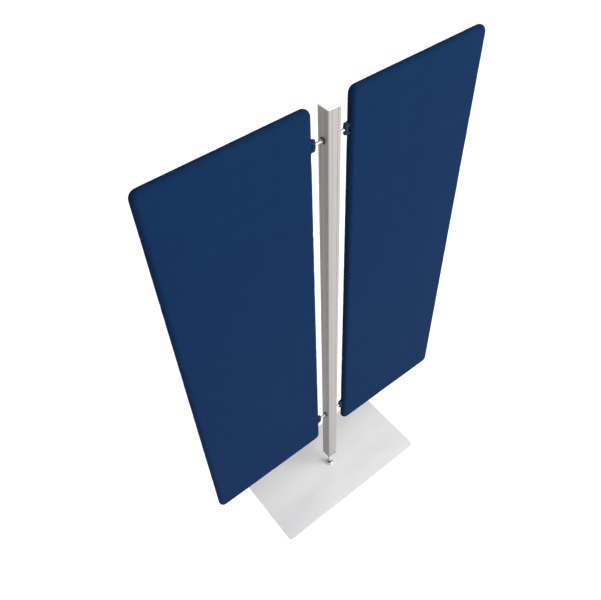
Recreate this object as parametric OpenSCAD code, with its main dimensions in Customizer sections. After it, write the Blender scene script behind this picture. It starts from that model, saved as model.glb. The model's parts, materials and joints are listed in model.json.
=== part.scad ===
// Free-standing privacy screen: two padded fabric wings hinged on a central post.
// Origin on the floor under the post's axis. +X along the panels, -Y front, +Z up.

/* [Base plate] */
// Length of the plate, along the panels
plate_w = 730; // [600:10:900]
// Depth of the plate, front to back
plate_d = 360; // [300:10:450]
// Thickness of the plate
plate_t = 10; // [8:1:15]
// Radius of the plate's corners
plate_r = 16; // [8:1:40]
// Bevel round the plate's top edge
plate_bevel = 1.2; // [0.5:0.1:2]
// Thickness of the floor pads
pad_t = 3; // [2:0.5:5]
// Diameter of the floor pads
pad_dia = 40; // [25:1:60]

/* [Post] */
// Side of the square post
post_s = 45; // [40:1:60]
// Length of the post
post_len = 1805; // [1500:5:2000]
// Wall of the post
post_wall = 3.5; // [3:0.5:5]
// Radius of the post's corners
post_r = 5; // [1:0.5:8]
// Distance of each lengthwise groove from the middle of its face
groove_at = 9.5; // [6:0.5:12]
// Width of a groove
groove_w = 1.8; // [1:0.2:4]
// Depth of a groove
groove_d = 0.6; // [0.4:0.1:2]
// Height of the gap between plate and post
stem_gap = 105; // [60:5:150]
// Diameter of the stem
stem_dia = 14; // [12:1:18]

/* [Panels] */
// Width of a panel
panel_w = 500; // [300:10:700]
// Height of a panel
panel_h = 1600; // [1300:10:1650]
// Thickness of a panel
panel_t = 30; // [26:1:40]
// Radius of a panel's corners
panel_r = 24; // [18:1:60]
// Height of a panel's lower edge above the plate
panel_rise = 332; // [250:1:420]
// Gap between the post and a panel
panel_gap = 42.5; // [38:0.5:70]
// Width of the frame's timbers
timber_w = 32; // [25:1:50]
// Thickness of the frame's timbers
timber_t = 20; // [16:1:24]

/* [Hinges] */
// Distance of a hinge from the panel's upper or lower edge
hinge_inset = 120; // [80:5:250]
// Distance of the hinge axis from the panel's edge
axis_out = 9; // [8:0.5:12]
// Diameter of the hinge pin
pin_dia = 6; // [5:0.5:8]
// Overall height of a bracket's knuckle
knuckle_h = 32; // [30:1:50]
// Diameter of the dark bush on the post
bush_dia = 20; // [16:1:24]
// Diameter of an arm's rod
arm_dia = 9; // [8:0.5:13]

/* [Hidden] */
$fn = 48;

// Overshoot that keeps cuts from ending on a face
cut = 1;
// Radial clearance of a turning pin
run_gap = 0.05;
// Radial clearance of a fixed pin or screw
fix_gap = 0.02;
// Clearance between parts that move past each other
free_gap = 0.3;
// Total clearance of a part that slides into the post
slip = 0.2;

// Soft layers: the fabric, and the padding's depth at the frame's edge
fabric_t = 1;
edge_pad = 6;

// Heights
plate_top = pad_t + plate_t;
post_z = plate_top + stem_gap;
panel_z = plate_top + panel_rise;
upper_z = panel_z + panel_h - hinge_inset;
lower_z = panel_z + hinge_inset;

// Places along X, on the right-hand side
edge_x = post_s / 2 + panel_gap;
axis_x = edge_x - axis_out;
timber_x = edge_x + edge_pad;
bore_s = post_s - 2 * post_wall;

// Distance of the floor pads' middles from the plate's edge
pad_inset = 50;

// Stem's foot
boss_dia = 34;
boss_top_dia = 24;
boss_rim = 2;
boss_h = 12;
collar_dia = 20;
collar_h = 8;
collar_bevel = 1.5;
stud_dia = 10;
stud_short = 1;
nut_dia = 22;
nut_h = 6;
nut_seat_dia = 23;
plug_h = 60;
stem_short = 5;
grub_dia = 6;
grub_at = 15;
grub_sunk = 1;
key_size = 3;
key_depth = 3;

// Cap
cap_lip = 2.5;
cap_plug = 22;
cap_wall = 3;

// Arm, with the barrel at its outer end
flange_t = 3;
sleeve_dia = 14;
shank_dia = 8;
shank_in = 14;
barrel_dia = 16;
barrel_h = 18;
block_h = 36;

// Bracket, pin and screws
washer_h = 1;
ear_dia = 14;
leaf_t = 3;
leaf_h = 70;
screw_at = 27;
screw_dia = 4;
screw_len = 26;
head_dia = 7.5;
pin_head_dia = 10;
pin_head_h = 2.4;
pin_tail = 3;
clip_dia = 10;
clip_t = 1;
clip_mouth = 3;

// ---------- shared forms ----------

// Square with round corners, centred
module round_square(w, d, r) {
    square([w - 2 * r, d], center = true);
    square([w, d - 2 * r], center = true);
    for (x = [-1, 1], y = [-1, 1])
        translate([x * (w / 2 - r), y * (d / 2 - r)]) circle(r);
}

// Strip with half-round ends, its length along X
module stadium(len, t) {
    square([len - t, t], center = true);
    for (x = [-1, 1]) translate([x * (len - t) / 2, 0]) circle(d = t);
}

// Panel form with half-round edges, standing on z = 0 over x = 0 to w, centred on y = 0
module soft_slab(w, h, t, r) {
    translate([w / 2, 0, h / 2])
        intersection() {
            translate([0, 0, -h / 2]) linear_extrude(h) stadium(w, t);
            rotate([0, 90, 0]) translate([0, 0, -w / 2]) linear_extrude(w) stadium(h, t);
            rotate([90, 0, 0]) translate([0, 0, -t / 2]) linear_extrude(t) round_square(w, h, r);
        }
}

// Front (side = -1) or rear (side = 1) half of what is passed in
module half(side) {
    intersection() {
        children();
        translate([-cut, side < 0 ? -panel_t : 0, -cut])
            cube([panel_w + 2 * cut, panel_t, panel_h + 2 * cut]);
    }
}

// Rod along X from x0 to x1
module x_rod(x0, x1, dia) {
    translate([x0, 0, 0]) rotate([0, 90, 0]) cylinder(h = x1 - x0, d = dia);
}

// Places a right-hand shape on the left or right side
module on_side(side) {
    if (side < 0) mirror([1, 0, 0]) children();
    else children();
}

// ---------- stand ----------

module floor_pads() {
    color("dimgray")
        for (x = [-1, 0, 1], y = [-1, 1])
            translate([x * (plate_w / 2 - pad_inset), y * (plate_d / 2 - pad_inset), 0])
                cylinder(h = pad_t, d = pad_dia);
}

// Cross-section of the plate's edge: a bar of width w with its top corners bevelled
module bevelled_bar(w) {
    polygon([[-w / 2, 0], [w / 2, 0], [w / 2, plate_t - plate_bevel],
             [w / 2 - plate_bevel, plate_t], [plate_bevel - w / 2, plate_t],
             [-w / 2, plate_t - plate_bevel]]);
}

module plate_blank() {
    along_x = plate_w - 2 * plate_r;
    along_y = plate_d - 2 * plate_r;
    translate([-along_x / 2, 0, 0]) rotate([90, 0, 90]) linear_extrude(along_x) bevelled_bar(plate_d);
    translate([0, along_y / 2, 0]) rotate([90, 0, 0]) linear_extrude(along_y) bevelled_bar(plate_w);
    for (x = [-1, 1], y = [-1, 1])
        translate([x * along_x / 2, y * along_y / 2, 0]) {
            cylinder(h = plate_t - plate_bevel, r = plate_r);
            translate([0, 0, plate_t - plate_bevel])
                cylinder(h = plate_bevel, r1 = plate_r, r2 = plate_r - plate_bevel);
        }
}

module base_plate() {
    color("gainsboro")
        translate([0, 0, pad_t])
            difference() {
                plate_blank();
                translate([0, 0, -cut]) cylinder(h = plate_t + 2 * cut, d = stud_dia + 2 * fix_gap);
                translate([0, 0, -cut]) cylinder(h = nut_h + cut, d = nut_seat_dia);
            }
}

module base_nut() {
    color("dimgray")
        translate([0, 0, pad_t])
            difference() {
                cylinder(h = nut_h, d = nut_dia, $fn = 6);
                translate([0, 0, -cut]) cylinder(h = nut_h + 2 * cut, d = stud_dia + 2 * fix_gap);
            }
}

// The rod's threaded end passes boss, plate and sunk nut
module stem() {
    color("silver") {
        translate([0, 0, pad_t + stud_short])
            cylinder(h = plate_t + boss_h - stud_short, d = stud_dia);
        translate([0, 0, plate_top + boss_h])
            cylinder(h = stem_gap - boss_h + plug_h - stem_short, d = stem_dia);
    }
}

// Conical foot that spreads the stem's load on the plate
module stem_boss() {
    color("whitesmoke")
        translate([0, 0, plate_top])
            difference() {
                union() {
                    cylinder(h = boss_rim, d = boss_dia);
                    translate([0, 0, boss_rim])
                        cylinder(h = boss_h - boss_rim, d1 = boss_dia, d2 = boss_top_dia);
                }
                translate([0, 0, -cut]) cylinder(h = boss_h + 2 * cut, d = stud_dia + 2 * fix_gap);
            }
}

module stem_collar() {
    color("dimgray")
        translate([0, 0, plate_top + boss_h])
            difference() {
                union() {
                    cylinder(h = collar_h - collar_bevel, d = collar_dia);
                    translate([0, 0, collar_h - collar_bevel])
                        cylinder(h = collar_bevel, d1 = collar_dia, d2 = collar_dia - 2 * collar_bevel);
                }
                translate([0, 0, -cut]) cylinder(h = collar_h + 2 * cut, d = stem_dia + 2 * fix_gap);
            }
}

// Grub screws come in through the front and rear walls at two heights
function grub_heights() = [post_z + grub_at, post_z + plug_h - grub_at];

module grub_bores(dia) {
    for (z = grub_heights())
        translate([0, post_s / 2 + cut, z])
            rotate([90, 0, 0]) cylinder(h = post_s + 2 * cut, d = dia);
}

module foot_plug() {
    side = bore_s - slip;
    color("silver")
        difference() {
            translate([-side / 2, -side / 2, post_z]) cube([side, side, plug_h]);
            translate([0, 0, post_z - cut]) cylinder(h = plug_h + 2 * cut, d = stem_dia + 2 * fix_gap);
            grub_bores(grub_dia + 2 * fix_gap);
        }
}

module foot_screws() {
    reach = stem_dia / 2 + fix_gap;
    length = post_s / 2 - grub_sunk - reach;
    color("dimgray")
        for (z = grub_heights(), side = [-1, 1])
            translate([0, side * (reach + length / 2), z])
                rotate([90, 0, 0])
                    difference() {
                        cylinder(h = length, d = grub_dia, center = true);
                        translate([0, 0, -side * length / 2])
                            cylinder(h = 2 * key_depth, d = key_size, center = true, $fn = 6);
                    }
}

module post_section() {
    difference() {
        round_square(post_s, post_s, post_r);
        square(bore_s, center = true);
        for (turn = [0 : 3], side = [-1, 1])
            rotate(90 * turn)
                translate([post_s / 2 - groove_d, side * groove_at - groove_w / 2])
                    square([groove_d + cut, groove_w]);
    }
}

module post() {
    color("lightgray")
        difference() {
            translate([0, 0, post_z]) linear_extrude(post_len) post_section();
            for (z = [lower_z, upper_z])
                translate([0, 0, z]) x_rod(-post_s / 2 - cut, post_s / 2 + cut, sleeve_dia + 2 * fix_gap);
            grub_bores(grub_dia + 2 * fix_gap);
        }
}

// Lid with a hollow plug that slides into the post
module post_cap() {
    side = bore_s - slip;
    color("white")
        translate([0, 0, post_z + post_len]) {
            linear_extrude(cap_lip) round_square(post_s, post_s, post_r);
            translate([0, 0, -cap_plug])
                difference() {
                    linear_extrude(cap_plug) square(side, center = true);
                    translate([0, 0, -cut])
                        linear_extrude(cap_plug - cap_wall + cut)
                            square(side - 2 * cap_wall, center = true);
                }
        }
}

module arm_block(z) {
    side = bore_s - slip;
    color("silver")
        difference() {
            translate([-side / 2, -side / 2, z - block_h / 2]) cube([side, side, block_h]);
            translate([0, 0, z]) x_rod(-side, side, shank_dia + 2 * fix_gap);
        }
}

module bush(side, z) {
    color("dimgray")
        on_side(side)
            translate([0, 0, z])
                difference() {
                    union() {
                        x_rod(post_s / 2, post_s / 2 + flange_t, bush_dia);
                        x_rod(bore_s / 2, post_s / 2, sleeve_dia);
                    }
                    x_rod(bore_s / 2 - cut, post_s / 2 + flange_t + cut, shank_dia + 2 * fix_gap);
                }
}

// Rod with a threaded shank at its inner end, saddled onto its barrel at the outer one
module arm(side, z) {
    root = post_s / 2 + flange_t;
    color("whitesmoke")
        on_side(side)
            translate([0, 0, z])
                difference() {
                    union() {
                        x_rod(bore_s / 2 - shank_in, root, shank_dia);
                        x_rod(root, axis_x, arm_dia);
                    }
                    translate([axis_x, 0, -barrel_h])
                        cylinder(h = 2 * barrel_h, d = barrel_dia + 2 * fix_gap);
                }
}

// Upright barrel that the hinge pin turns in
module barrel(side, z) {
    color("#18375f")
        on_side(side)
            translate([axis_x, 0, z])
                difference() {
                    cylinder(h = barrel_h, d = barrel_dia, center = true);
                    cylinder(h = barrel_h + 2 * cut, d = pin_dia + 2 * run_gap, center = true);
                }
}

// ---------- wings ----------

// Puts a panel form that starts at x = 0, z = 0 where the panel hangs
module in_panel(side) {
    on_side(side) translate([edge_x, 0, panel_z]) children();
}

// Space in the panel's edge for both hinges, w wide and h high, down to the timber
module hinge_pockets(w, h) {
    for (z = [lower_z, upper_z])
        translate([-cut, -w / 2, z - panel_z - h / 2]) cube([edge_pad + cut, w, h]);
}

module cover(side, face) {
    color("#18375f")
        in_panel(side)
            difference() {
                half(face) soft_slab(panel_w, panel_h, panel_t, panel_r);
                translate([fabric_t, 0, fabric_t])
                    soft_slab(panel_w - 2 * fabric_t, panel_h - 2 * fabric_t,
                              panel_t - 2 * fabric_t, panel_r - fabric_t);
                hinge_pockets(ear_dia + 2 * free_gap, knuckle_h + 2 * free_gap);
            }
}

// Outer form of the timber frame; its corners follow the panel's
module frame_form() {
    translate([panel_w / 2, timber_t / 2, panel_h / 2])
        rotate([90, 0, 0])
            linear_extrude(timber_t)
                round_square(panel_w - 2 * edge_pad, panel_h - 2 * edge_pad, panel_r - edge_pad);
}

module pad(side, face) {
    color("slategray")
        in_panel(side)
            difference() {
                half(face)
                    translate([fabric_t, 0, fabric_t])
                        soft_slab(panel_w - 2 * fabric_t, panel_h - 2 * fabric_t,
                                  panel_t - 2 * fabric_t, panel_r - fabric_t);
                frame_form();
                hinge_pockets(ear_dia + 2 * free_gap, leaf_h + 2 * free_gap);
            }
}

// Upright member of the frame; at_post picks the one that carries the hinges
module stile(side, at_post) {
    color("burlywood")
        in_panel(side)
            difference() {
                intersection() {
                    frame_form();
                    translate([at_post ? edge_pad : panel_w - edge_pad - timber_w, -timber_t, 0])
                        cube([timber_w, 2 * timber_t, panel_h]);
                }
                if (at_post)
                    for (z = [lower_z, upper_z], step = [-1, 1])
                        translate([0, 0, z - panel_z + step * screw_at])
                            x_rod(edge_pad - cut, edge_pad + screw_len, screw_dia + 2 * fix_gap);
            }
}

module rail(side, at_top) {
    reach = edge_pad + timber_w;
    color("burlywood")
        in_panel(side)
            translate([reach, -timber_t / 2, at_top ? panel_h - reach : edge_pad])
                cube([panel_w - 2 * reach, timber_t, timber_w]);
}

module core(side) {
    reach = edge_pad + timber_w;
    color("dimgray")
        in_panel(side)
            translate([reach, -timber_t / 2, reach])
                cube([panel_w - 2 * reach, timber_t, panel_h - 2 * reach]);
}

// Leaf on the timber, and two ears round the hinge axis
module bracket(side, z) {
    ear_z = barrel_h / 2 + washer_h + free_gap;
    color("#18375f")
        on_side(side)
            translate([0, 0, z])
                difference() {
                    union() {
                        translate([timber_x - leaf_t, -ear_dia / 2, -leaf_h / 2])
                            cube([leaf_t, ear_dia, leaf_h]);
                        for (low = [-knuckle_h / 2, ear_z])
                            translate([axis_x, 0, low]) {
                                cylinder(h = knuckle_h / 2 - ear_z, d = ear_dia);
                                translate([0, -ear_dia / 2, 0])
                                    cube([timber_x - leaf_t - axis_x, ear_dia, knuckle_h / 2 - ear_z]);
                            }
                    }
                    translate([axis_x, 0, -knuckle_h]) cylinder(h = 2 * knuckle_h, d = pin_dia + 2 * fix_gap);
                    for (step = [-1, 1])
                        translate([0, 0, step * screw_at]) screw_form(fix_gap);
                }
}

// Countersunk wood screw, its head flush with the leaf; grow widens it for a hole
module screw_form(grow) {
    head_h = (head_dia - screw_dia) / 2;
    face = timber_x - leaf_t;
    x_rod(face - (grow > 0 ? cut : 0), face + screw_len, screw_dia + 2 * grow);
    translate([face, 0, 0])
        rotate([0, 90, 0])
            cylinder(h = head_h, d1 = head_dia + 2 * grow, d2 = screw_dia + 2 * grow);
}

module screws(side, z) {
    color("silver")
        on_side(side)
            for (step = [-1, 1])
                translate([0, 0, z + step * screw_at]) screw_form(0);
}

module hinge_pin(side, z) {
    bevel = 0.8;
    color("silver")
        on_side(side)
            translate([axis_x, 0, z]) {
                translate([0, 0, -knuckle_h / 2 - pin_tail]) cylinder(h = knuckle_h + pin_tail, d = pin_dia);
                translate([0, 0, knuckle_h / 2]) {
                    cylinder(h = pin_head_h - bevel, d = pin_head_dia);
                    translate([0, 0, pin_head_h - bevel])
                        cylinder(h = bevel, d1 = pin_head_dia, d2 = pin_head_dia - 2 * bevel);
                }
            }
}

module washers(side, z) {
    color("white")
        on_side(side)
            for (low = [-barrel_h / 2 - free_gap - washer_h, barrel_h / 2 + free_gap])
                translate([axis_x, 0, z + low])
                    difference() {
                        cylinder(h = washer_h, d = ear_dia);
                        translate([0, 0, -cut]) cylinder(h = washer_h + 2 * cut, d = pin_dia + 2 * fix_gap);
                    }
}

// Retaining ring under each knuckle, open on one side
module pin_clips(side) {
    color("dimgray")
        on_side(side)
            for (z = [lower_z, upper_z])
                translate([axis_x, 0, z - knuckle_h / 2 - clip_t])
                    difference() {
                        cylinder(h = clip_t, d = clip_dia);
                        translate([0, 0, -cut]) cylinder(h = clip_t + 2 * cut, d = pin_dia + 2 * fix_gap);
                        translate([0, -clip_mouth / 2, -cut]) cube([clip_dia, clip_mouth, clip_t + 2 * cut]);
                    }
}

// ---------- every node ----------

floor_pads();
base_plate();
base_nut();
stem();
stem_boss();
stem_collar();
foot_plug();
foot_screws();
post();
post_cap();
arm_block(upper_z);  // upper_arm_block
arm_block(lower_z);  // lower_arm_block

for (side = [-1, 1]) {
    name = side < 0 ? "left" : "right";
    arm(side, upper_z);
    arm(side, lower_z);
    barrel(side, upper_z);
    barrel(side, lower_z);
    bush(side, upper_z);
    bush(side, lower_z);
    stile(side, true);
    stile(side, false);
    rail(side, true);
    rail(side, false);
    core(side);
    pad(side, -1);
    pad(side, 1);
    cover(side, -1);
    cover(side, 1);
    bracket(side, upper_z);
    bracket(side, lower_z);
    hinge_pin(side, upper_z);
    hinge_pin(side, lower_z);
    washers(side, upper_z);
    washers(side, lower_z);
    screws(side, upper_z);
    screws(side, lower_z);
    pin_clips(side);
}
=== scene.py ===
"""Looks of a free-standing privacy screen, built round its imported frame.

Two padded, cloth-covered wings hang on hinge pins each side of a square post.
The post stands on a slim stem above a satin metal base plate. Every length is in metres.
"""

import json
import logging
import math
from dataclasses import dataclass, field
from enum import Enum
from typing import Callable, Iterable, Sequence

import bmesh
import bpy
from mathutils import Euler, Matrix, Vector
from mathutils.bvhtree import BVHTree


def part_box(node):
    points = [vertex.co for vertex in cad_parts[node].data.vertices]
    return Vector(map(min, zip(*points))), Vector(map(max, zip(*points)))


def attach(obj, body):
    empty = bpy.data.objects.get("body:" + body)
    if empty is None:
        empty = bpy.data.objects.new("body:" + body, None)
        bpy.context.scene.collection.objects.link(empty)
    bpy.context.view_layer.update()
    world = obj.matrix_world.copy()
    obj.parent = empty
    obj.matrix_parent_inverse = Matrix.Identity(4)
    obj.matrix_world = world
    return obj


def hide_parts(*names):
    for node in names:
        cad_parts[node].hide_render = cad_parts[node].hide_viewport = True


log = logging.getLogger("privacy_screen")
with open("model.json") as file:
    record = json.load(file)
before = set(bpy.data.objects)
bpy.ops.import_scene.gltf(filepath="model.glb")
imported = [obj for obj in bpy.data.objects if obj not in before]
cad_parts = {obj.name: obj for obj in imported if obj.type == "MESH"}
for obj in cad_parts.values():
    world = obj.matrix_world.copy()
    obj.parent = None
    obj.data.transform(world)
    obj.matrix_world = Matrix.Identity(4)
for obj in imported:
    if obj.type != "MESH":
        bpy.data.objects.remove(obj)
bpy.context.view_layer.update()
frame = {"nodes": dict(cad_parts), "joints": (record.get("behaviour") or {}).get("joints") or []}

MM = 0.001
STAND = "stand"
WEAVE_MAP = "weave"
Point2 = tuple[float, float]


class Side(Enum):
    """Which wing a piece belongs to; the value is the sign of its X."""

    LEFT = -1
    RIGHT = 1

    @property
    def word(self) -> str:
        """The side's name, as the frame's nodes spell it."""
        return self.name.lower()

    @property
    def wing(self) -> str:
        """The body that swings on this side."""
        return f"{self.word}_wing"


class Level(Enum):
    """Which of a wing's two hinges a piece belongs to."""

    UPPER = "upper"
    LOWER = "lower"


# ---------------------------------------------------------------- shader maths


class Value:
    """A number socket whose arithmetic adds Math nodes to its graph."""

    def __init__(self, graph: "Graph", socket: bpy.types.NodeSocket) -> None:
        """Wraps a socket.

        Args:
            graph: the graph that the socket belongs to.
            socket: an output socket that carries a number.
        """
        self.graph = graph
        self.socket = socket

    def math(self, operation: str, *others: "Value | float") -> "Value":
        """Adds one Math node.

        Args:
            operation: the Math node's operation.
            others: its second and third inputs.

        Returns:
            The node's result.
        """
        sockets = dict(enumerate((self, *others)))
        node = self.graph.node("ShaderNodeMath", {"operation": operation}, sockets)
        return Value(self.graph, node.outputs[0])

    def __add__(self, other: "Value | float") -> "Value":
        """Sum."""
        return self.math("ADD", other)

    def __radd__(self, other: float) -> "Value":
        """Sum, with a plain number on the left."""
        return self.math("ADD", other)

    def __sub__(self, other: "Value | float") -> "Value":
        """Difference."""
        return self.math("SUBTRACT", other)

    def __rsub__(self, other: float) -> "Value":
        """Difference, with a plain number on the left."""
        return (self * -1.0).math("ADD", other)

    def __mul__(self, other: "Value | float") -> "Value":
        """Product."""
        return self.math("MULTIPLY", other)

    def __rmul__(self, other: float) -> "Value":
        """Product, with a plain number on the left."""
        return self.math("MULTIPLY", other)

    def __truediv__(self, other: "Value | float") -> "Value":
        """Quotient."""
        return self.math("DIVIDE", other)

    def __abs__(self) -> "Value":
        """Size without sign."""
        return self.math("ABSOLUTE")

    def sine(self) -> "Value":
        """Sine of an angle in radians."""
        return self.math("SINE")

    def floor(self) -> "Value":
        """Whole part."""
        return self.math("FLOOR")

    def clamped(self) -> "Value":
        """The value held between 0 and 1."""
        return self.math("MAXIMUM", 0.0).math("MINIMUM", 1.0)

    def step(self, low: float, high: float) -> "Value":
        """A straight ramp from 0 at low to 1 at high, held at both ends."""
        return ((self - low) * (1.0 / (high - low))).clamped()


class Graph:
    """A node tree that is filled from code."""

    def __init__(self, tree: bpy.types.NodeTree) -> None:
        """Wraps a tree.

        Args:
            tree: the node tree to fill.
        """
        self.tree = tree

    def feed(self, socket: bpy.types.NodeSocket, value: object) -> None:
        """Sets or links one input socket.

        Args:
            socket: the input.
            value: a Value, a socket, a number, a colour or a vector.
        """
        if isinstance(value, Value):
            self.tree.links.new(value.socket, socket)
        elif isinstance(value, bpy.types.NodeSocket):
            self.tree.links.new(value, socket)
        elif socket.type == "RGBA" and len(value) == 3:
            socket.default_value = (*value, 1.0)
        else:
            socket.default_value = value

    def node(
        self,
        kind: str,
        settings: dict[str, object] | None = None,
        sockets: dict[str | int, object] | None = None,
    ) -> bpy.types.Node:
        """Adds one node.

        Args:
            kind: the node's type.
            settings: its own properties, and a ramp's stops, which are set first.
            sockets: values or links of its inputs, by name or place.

        Returns:
            The node.
        """
        made = self.tree.nodes.new(kind)
        for name, value in (settings or {}).items():
            if name == "stops":
                self.fill_ramp(made.color_ramp, value)
            else:
                setattr(made, name, value)
        for name, value in (sockets or {}).items():
            self.feed(made.inputs[name], value)
        return made

    @staticmethod
    def fill_ramp(ramp: bpy.types.ColorRamp, stops: Sequence[tuple[float, Sequence[float]]]) -> None:
        """Gives a ramp its stops.

        Args:
            ramp: the ramp, with its two first stops.
            stops: place and colour of each stop.
        """
        while len(ramp.elements) < len(stops):
            ramp.elements.new(1.0)
        for element, (place, colour) in zip(ramp.elements, stops):
            element.position = place
            element.color = (*colour, 1.0)

    def value(self, node: bpy.types.Node, output: str | int = 0) -> Value:
        """An output of a node as a Value."""
        return Value(self, node.outputs[output])

    def split(self, vector: bpy.types.NodeSocket) -> tuple[Value, Value, Value]:
        """The three parts of a vector.

        Args:
            vector: the vector's socket.

        Returns:
            Its X, Y and Z.
        """
        node = self.node("ShaderNodeSeparateXYZ", {}, {0: vector})
        return self.value(node, 0), self.value(node, 1), self.value(node, 2)

    def join(self, x: object, y: object, z: object) -> bpy.types.NodeSocket:
        """A vector from three numbers or Values."""
        return self.node("ShaderNodeCombineXYZ", {}, {0: x, 1: y, 2: z}).outputs[0]

    def place(self) -> bpy.types.NodeSocket:
        """The point's place in the object, in metres."""
        return self.node("ShaderNodeTexCoord").outputs["Object"]

    def noise(self, vector: object, scale: float, detail: float = 2.0, rough: float = 0.5) -> Value:
        """Smooth noise.

        Args:
            vector: where it is sampled.
            scale: its frequency.
            detail: how many finer layers it has.
            rough: how strong those layers are.

        Returns:
            A value about 0.5.
        """
        sockets = {"Vector": vector, "Scale": scale, "Detail": detail, "Roughness": rough}
        return self.value(self.node("ShaderNodeTexNoise", {}, sockets), 0)

    def stretched(self, along: Sequence[float], detail: float = 2.0) -> Value:
        """Noise drawn out along an axis.

        Args:
            along: its frequency along X, Y and Z.
            detail: how many finer layers it has.

        Returns:
            A value about 0.5.
        """
        scaled = self.node("ShaderNodeVectorMath", {"operation": "MULTIPLY"}, {0: self.place(), 1: along})
        return self.noise(scaled.outputs[0], 1.0, detail)

    def blend(self, factor: object, low: object, high: object) -> bpy.types.NodeSocket:
        """A colour between two.

        Args:
            factor: 0 for low, 1 for high.
            low: the first colour.
            high: the second colour.

        Returns:
            The mixed colour's socket.
        """
        node = self.node("ShaderNodeMix", {"data_type": "RGBA"}, {0: factor, 6: low, 7: high})
        return node.outputs[2]

    def bump(self, height: Value, depth: float, strength: float = 1.0) -> bpy.types.NodeSocket:
        """A normal from a height.

        Args:
            height: the height, about 0 to 1.
            depth: the real depth that 0 to 1 stands for.
            strength: how much of it shows.

        Returns:
            The normal's socket.
        """
        sockets = {"Height": height, "Distance": depth, "Strength": strength}
        return self.node("ShaderNodeBump", {}, sockets).outputs[0]

    def surface(self, sockets: dict[str, object]) -> None:
        """Ends the tree in one Principled surface.

        Args:
            sockets: values or links of its inputs.
        """
        shader = self.node("ShaderNodeBsdfPrincipled", {}, sockets)
        self.node("ShaderNodeOutputMaterial", {}, {0: shader.outputs[0]})


# ---------------------------------------------------------------- finishes


def shade(colour: Sequence[float], factor: float) -> tuple[float, ...]:
    """A colour made lighter or darker by a factor."""
    return tuple(min(1.0, part * factor) for part in colour)


@dataclass(frozen=True)
class Finish:
    """What a surface is made of and how it was treated."""

    name: str
    colour: tuple[float, float, float]

    def draw(self, graph: Graph) -> None:
        """Fills the material's graph; each finish has its own."""
        raise NotImplementedError

    def material(self) -> bpy.types.Material:
        """The finish's material, made once.

        Returns:
            The material.
        """
        found = bpy.data.materials.get(self.name)
        if found is not None:
            return found
        made = bpy.data.materials.new(self.name)
        made.use_nodes = True
        made.node_tree.nodes.clear()
        self.draw(Graph(made.node_tree))
        made.diffuse_color = (*self.colour, 1.0)
        return made


@dataclass(frozen=True)
class WovenCloth(Finish):
    """Plain-woven upholstery cloth, which follows the piece's weave map."""

    pitch: float = 1.15 * MM
    relief: float = 0.22 * MM
    thread_spread: float = 0.22
    streak_spread: float = 0.10

    def draw(self, graph: Graph) -> None:
        """Draws over-and-under threads with slubs, small differences of tone, and painted shade that
        darkens the weave's hollows and lightens its crests.

        Args:
            graph: the material's graph.
        """
        flat = graph.node("ShaderNodeUVMap", {"uv_map": WEAVE_MAP}).outputs[0]
        across, up, _ = graph.split(flat)
        u, v = across * (1.0 / self.pitch), up * (1.0 / self.pitch)
        wave_u, wave_v = (u * math.pi).sine(), (v * math.pi).sine()
        warp, weft = abs(wave_u), abs(wave_v)
        on_top = (wave_u * wave_v * 4.0 + 0.5).clamped()
        height = self.layered(warp, weft, on_top)
        tone = self.thread_tone(graph, u, v, on_top)
        streak = graph.noise(graph.join(across * 9.0, up * 420.0, 0.0), 1.0, 3.0)
        patch = graph.noise(graph.join(across, up, 0.0), 5.0, 2.0)
        # the colour mixes random thread, streak and patch tone with painted shade from the weave's height:
        # darker in the hollows between threads, lighter on their crests
        lift = (
            (tone - 0.5) * self.thread_spread
            + (streak - 0.5) * (2.0 * self.streak_spread)
            + (patch - 0.5) * 0.10
            + (height - 0.6) * 0.35
            + 0.5
        ).clamped()
        colour = graph.blend(lift, shade(self.colour, 0.45), shade(self.colour, 1.55))
        fibre = graph.noise(graph.join(u, v, 0.0), 7.0, 2.0)
        graph.surface(
            {
                "Base Color": colour,
                "Roughness": 0.82 + (fibre - 0.5) * 0.2,
                "Specular IOR Level": 0.04,
                "Sheen Weight": 0.015,
                "Sheen Roughness": 0.55,
                "Sheen Tint": shade(self.colour, 4.0),
                "Normal": graph.bump(height + fibre * 0.25, self.relief, 0.55),
            }
        )

    @staticmethod
    def layered(warp: Value, weft: Value, on_top: Value) -> Value:
        """Height of the weave.

        Args:
            warp: roundness of the warp thread, 0 at its edges and 1 on its crest.
            weft: the same for the weft thread.
            on_top: 1 where the warp lies over the weft.

        Returns:
            The height, 0 to 1.
        """
        over = warp * (weft * 0.45 + 0.55)
        under = weft * (warp * 0.45 + 0.55)
        return over * on_top + under * (1.0 - on_top)

    @staticmethod
    def thread_tone(graph: Graph, u: Value, v: Value, on_top: Value) -> Value:
        """Tone of the thread that shows.

        Args:
            graph: the material's graph.
            u: place across the warp, in threads.
            v: place across the weft, in threads.
            on_top: 1 where the warp shows.

        Returns:
            A value from 0 to 1, steady along each thread.
        """
        tones = []
        for place, seed in ((u, 0.0), (v, 57.0)):
            sockets = {"W": place.floor() + seed}
            node = graph.node("ShaderNodeTexWhiteNoise", {"noise_dimensions": "1D"}, sockets)
            tones.append(graph.value(node, 0))
        return tones[0] * on_top + tones[1] * (1.0 - on_top)


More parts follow.
